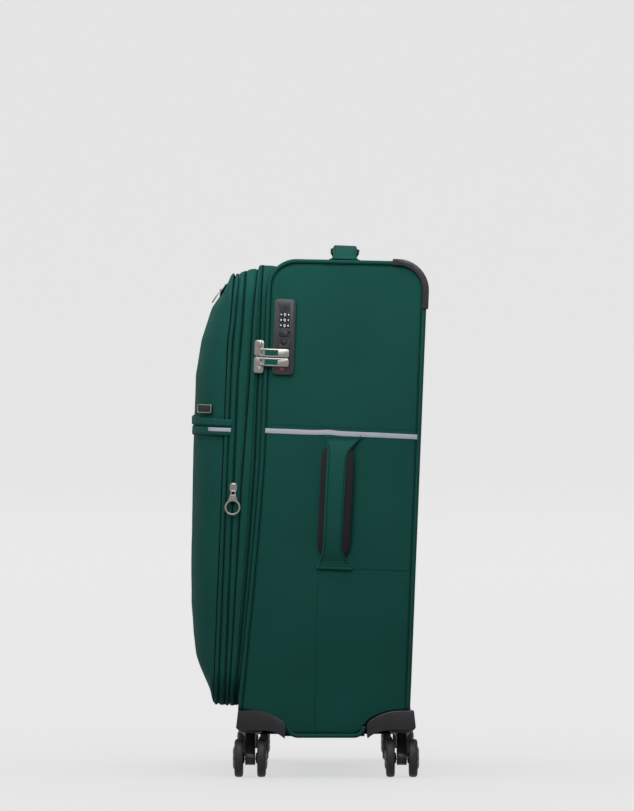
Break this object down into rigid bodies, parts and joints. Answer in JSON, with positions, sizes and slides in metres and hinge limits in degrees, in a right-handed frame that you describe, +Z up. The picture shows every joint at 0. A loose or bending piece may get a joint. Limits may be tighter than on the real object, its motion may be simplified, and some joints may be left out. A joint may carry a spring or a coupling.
{
  "type": "soft-sided spinner suitcase",
  "caption": "Upright soft-sided fabric suitcase on twin-wheel swivel casters, with a zip lid, expansion band, front pockets, telescopic handle, carry handles and a combination zip lock.",
  "frame": {"origin": "on the floor, under the middle of the standing suitcase", "axes": "+Z up; -Y towards the front pockets, +Y towards the back panel; +X towards the side with the lock and the side handle"},
  "size_m": [0.4979, 0.361, 0.8088],
  "materials": {
    "green_twill": "matte",
    "lining_fabric": "matte",
    "handle_webbing": "matte",
    "housing_plastic": "satin",
    "guard_plastic": "satin",
    "trolley_plastic": "satin",
    "trolley_aluminium": "satin",
    "button_plastic": "satin",
    "lock_plastic": "satin",
    "dial_plastic": "satin",
    "axle_steel": "satin",
    "wheel_tyre": "matte",
    "nickel": "polished"
  },
  "bodies": {
    "case": {"main_shell": "green_twill", "inner_back_panel": "lining_fabric", "corner_guard_left": "guard_plastic", "corner_guard_right": "guard_plastic", "wheel_housing_front_left": "housing_plastic", "wheel_housing_front_right": "housing_plastic", "wheel_housing_rear_left": "housing_plastic", "wheel_housing_rear_right": "housing_plastic", "handle_cup": "trolley_plastic", "tube_foot": "trolley_plastic", "outer_tube_left": "trolley_aluminium", "outer_tube_right": "trolley_aluminium", "lock_plate": "lock_plastic", "top_handle": "handle_webbing", "side_handle": "handle_webbing", "lid_hinge_strip": "lining_fabric"},
    "trolley_mid": {"mid_tube_left": "trolley_aluminium", "mid_tube_right": "trolley_aluminium"},
    "trolley_top": {"inner_tube_left": "trolley_aluminium", "inner_tube_right": "trolley_aluminium", "trolley_grip": "trolley_plastic"},
    "trolley_button": {"trolley_button": "button_plastic"},
    "lid": {"lid_frame": "green_twill", "expansion_gusset": "green_twill"},
    "front": {"front_panel": "green_twill", "upper_pocket": "green_twill", "lower_pocket": "green_twill", "pocket_zip_band": "green_twill", "badge": "lock_plastic"},
    "caster_front_left": {"caster_fork_front_left": "housing_plastic", "caster_axle_front_left": "axle_steel"},
    "wheel_front_left_a": {"wheel_front_left_a": "wheel_tyre"},
    "wheel_front_left_b": {"wheel_front_left_b": "wheel_tyre"},
    "caster_front_right": {"caster_fork_front_right": "housing_plastic", "caster_axle_front_right": "axle_steel"},
    "wheel_front_right_a": {"wheel_front_right_a": "wheel_tyre"},
    "wheel_front_right_b": {"wheel_front_right_b": "wheel_tyre"},
    "caster_rear_left": {"caster_fork_rear_left": "housing_plastic", "caster_axle_rear_left": "axle_steel"},
    "wheel_rear_left_a": {"wheel_rear_left_a": "wheel_tyre"},
    "wheel_rear_left_b": {"wheel_rear_left_b": "wheel_tyre"},
    "caster_rear_right": {"caster_fork_rear_right": "housing_plastic", "caster_axle_rear_right": "axle_steel"},
    "wheel_rear_right_a": {"wheel_rear_right_a": "wheel_tyre"},
    "wheel_rear_right_b": {"wheel_rear_right_b": "wheel_tyre"},
    "main_slider_upper": {"main_slider_upper": "nickel"},
    "main_puller_upper": {"main_puller_upper": "nickel"},
    "main_slider_lower": {"main_slider_lower": "nickel"},
    "main_puller_lower": {"main_puller_lower": "nickel"},
    "expansion_slider": {"expansion_slider": "nickel"},
    "ring_puller": {"ring_puller": "nickel"},
    "top_pocket_slider": {"top_pocket_slider": "nickel"},
    "top_pocket_puller": {"top_pocket_puller": "nickel"},
    "lower_pocket_slider": {"lower_pocket_slider": "nickel"},
    "lower_pocket_puller": {"lower_pocket_puller": "nickel"},
    "lock_dial_1": {"lock_dial_1": "dial_plastic"},
    "lock_dial_2": {"lock_dial_2": "dial_plastic"},
    "lock_dial_3": {"lock_dial_3": "dial_plastic"},
    "lock_button": {"lock_button": "button_plastic"},
    "key_cylinder": {"key_cylinder": "nickel"}
  },
  "joints": [
    {"name": "trolley_lower_stage", "type": "slide", "parent": "case", "child": "trolley_mid", "axis": [0, 0.0401, 0.9992], "range_m": [0, 0.17]},
    {"name": "trolley_upper_stage", "type": "slide", "parent": "trolley_mid", "child": "trolley_top", "axis": [0, 0.0401, 0.9992], "range_m": [0, 0.18]},
    {"name": "trolley_button_press", "type": "slide", "parent": "trolley_top", "child": "trolley_button", "axis": [0, -0.0401, -0.9992], "range_m": [0, 0.003], "stiffness_N_per_m": 400},
    {"name": "caster_swivel_front_left", "type": "hinge", "parent": "case", "child": "caster_front_left", "pos_m": [-0.198, -0.0895, 0.069], "axis": [0, 0, 1], "continuous": true},
    {"name": "wheel_spin_front_left_a", "type": "hinge", "parent": "caster_front_left", "child": "wheel_front_left_a", "pos_m": [-0.218, -0.1065, 0.0286], "axis": [0, 1, 0], "continuous": true},
    {"name": "wheel_spin_front_left_b", "type": "hinge", "parent": "caster_front_left", "child": "wheel_front_left_b", "pos_m": [-0.218, -0.0725, 0.0286], "axis": [0, 1, 0], "continuous": true},
    {"name": "caster_swivel_front_right", "type": "hinge", "parent": "case", "child": "caster_front_right", "pos_m": [0.198, -0.0895, 0.069], "axis": [0, 0, 1], "continuous": true},
    {"name": "wheel_spin_front_right_a", "type": "hinge", "parent": "caster_front_right", "child": "wheel_front_right_a", "pos_m": [0.218, -0.1065, 0.0286], "axis": [0, 1, 0], "continuous": true},
    {"name": "wheel_spin_front_right_b", "type": "hinge", "parent": "caster_front_right", "child": "wheel_front_right_b", "pos_m": [0.218, -0.0725, 0.0286], "axis": [0, 1, 0], "continuous": true},
    {"name": "caster_swivel_rear_left", "type": "hinge", "parent": "case", "child": "caster_rear_left", "pos_m": [-0.198, 0.1385, 0.069], "axis": [0, 0, 1], "continuous": true},
    {"name": "wheel_spin_rear_left_a", "type": "hinge", "parent": "caster_rear_left", "child": "wheel_rear_left_a", "pos_m": [-0.218, 0.1215, 0.0286], "axis": [0, 1, 0], "continuous": true},
    {"name": "wheel_spin_rear_left_b", "type": "hinge", "parent": "caster_rear_left", "child": "wheel_rear_left_b", "pos_m": [-0.218, 0.1555, 0.0286], "axis": [0, 1, 0], "continuous": true},
    {"name": "caster_swivel_rear_right", "type": "hinge", "parent": "case", "child": "caster_rear_right", "pos_m": [0.198, 0.1385, 0.069], "axis": [0, 0, 1], "continuous": true},
    {"name": "wheel_spin_rear_right_a", "type": "hinge", "parent": "caster_rear_right", "child": "wheel_rear_right_a", "pos_m": [0.218, 0.1215, 0.0286], "axis": [0, 1, 0], "continuous": true},
    {"name": "wheel_spin_rear_right_b", "type": "hinge", "parent": "caster_rear_right", "child": "wheel_rear_right_b", "pos_m": [0.218, 0.1555, 0.0286], "axis": [0, 1, 0], "continuous": true},
    {"name": "lid_swing", "type": "hinge", "parent": "case", "child": "lid", "pos_m": [-0.2395, -0.07628, 0.43336], "axis": [0, -0.0401, -0.9992], "range_deg": [0, 170]},
    {"name": "front_expansion", "type": "slide", "parent": "lid", "child": "front", "axis": [0, -0.9992, 0.0401], "range_m": [0, 0.03]},
    {"name": "main_slider_run_upper", "type": "slide", "parent": "case", "child": "main_slider_upper", "axis": [0, 0.0401, 0.9992], "range_m": [0, 0.05]},
    {"name": "main_puller_swing_upper", "type": "hinge", "parent": "main_slider_upper", "child": "main_puller_upper", "pos_m": [0.2462, -0.07585, 0.63831], "axis": [0, -0.0401, -0.9992], "range_deg": [0, 120]},
    {"name": "main_slider_run_lower", "type": "slide", "parent": "case", "child": "main_slider_lower", "axis": [0, 0.0401, 0.9992], "range_m": [-0.13, 0]},
    {"name": "main_puller_swing_lower", "type": "hinge", "parent": "main_slider_lower", "child": "main_puller_lower", "pos_m": [0.2462, -0.07641, 0.62452], "axis": [0, -0.0401, -0.9992], "range_deg": [0, 120]},
    {"name": "expansion_slider_run", "type": "slide", "parent": "lid", "child": "expansion_slider", "axis": [0, 0.0401, 0.9992], "range_m": [-0.2, 0.2]},
    {"name": "ring_puller_swing", "type": "hinge", "parent": "expansion_slider", "child": "ring_puller", "pos_m": [0.2431, -0.11473, 0.4304], "axis": [0, -0.9992, 0.0401], "range_deg": [0, 150]},
    {"name": "top_pocket_zip", "type": "slide", "parent": "front", "child": "top_pocket_slider", "axis": [1, 0, 0], "range_m": [-0.24, 0.12]},
    {"name": "top_pocket_puller_swing", "type": "hinge", "parent": "top_pocket_slider", "child": "top_pocket_puller", "pos_m": [0.06, -0.13887, 0.73447], "axis": [-1, 0, 0], "range_deg": [0, 100]},
    {"name": "lower_pocket_zip", "type": "slide", "parent": "front", "child": "lower_pocket_slider", "axis": [1, 0, 0], "range_m": [0, 0.3]},
    {"name": "lower_pocket_puller_swing", "type": "hinge", "parent": "lower_pocket_slider", "child": "lower_pocket_puller", "pos_m": [-0.143, -0.17912, 0.53157], "axis": [0, -0.0401, -0.9992], "range_deg": [0, 90]},
    {"name": "lock_dial_1_turn", "type": "hinge", "parent": "case", "child": "lock_dial_1", "pos_m": [0.234, -0.0377, 0.67861], "axis": [0, 0.0401, 0.9992], "continuous": true},
    {"name": "lock_dial_2_turn", "type": "hinge", "parent": "case", "child": "lock_dial_2", "pos_m": [0.234, -0.03738, 0.6868], "axis": [0, 0.0401, 0.9992], "continuous": true},
    {"name": "lock_dial_3_turn", "type": "hinge", "parent": "case", "child": "lock_dial_3", "pos_m": [0.234, -0.03705, 0.695], "axis": [0, 0.0401, 0.9992], "continuous": true},
    {"name": "lock_button_slide", "type": "slide", "parent": "case", "child": "lock_button", "axis": [0, 0.9992, -0.0401], "range_m": [0, 0.004], "stiffness_N_per_m": 300},
    {"name": "key_turn", "type": "hinge", "parent": "case", "child": "key_cylinder", "pos_m": [0.238, -0.03873, 0.65303], "axis": [1, 0, 0], "range_deg": [0, 90]}
  ]
}
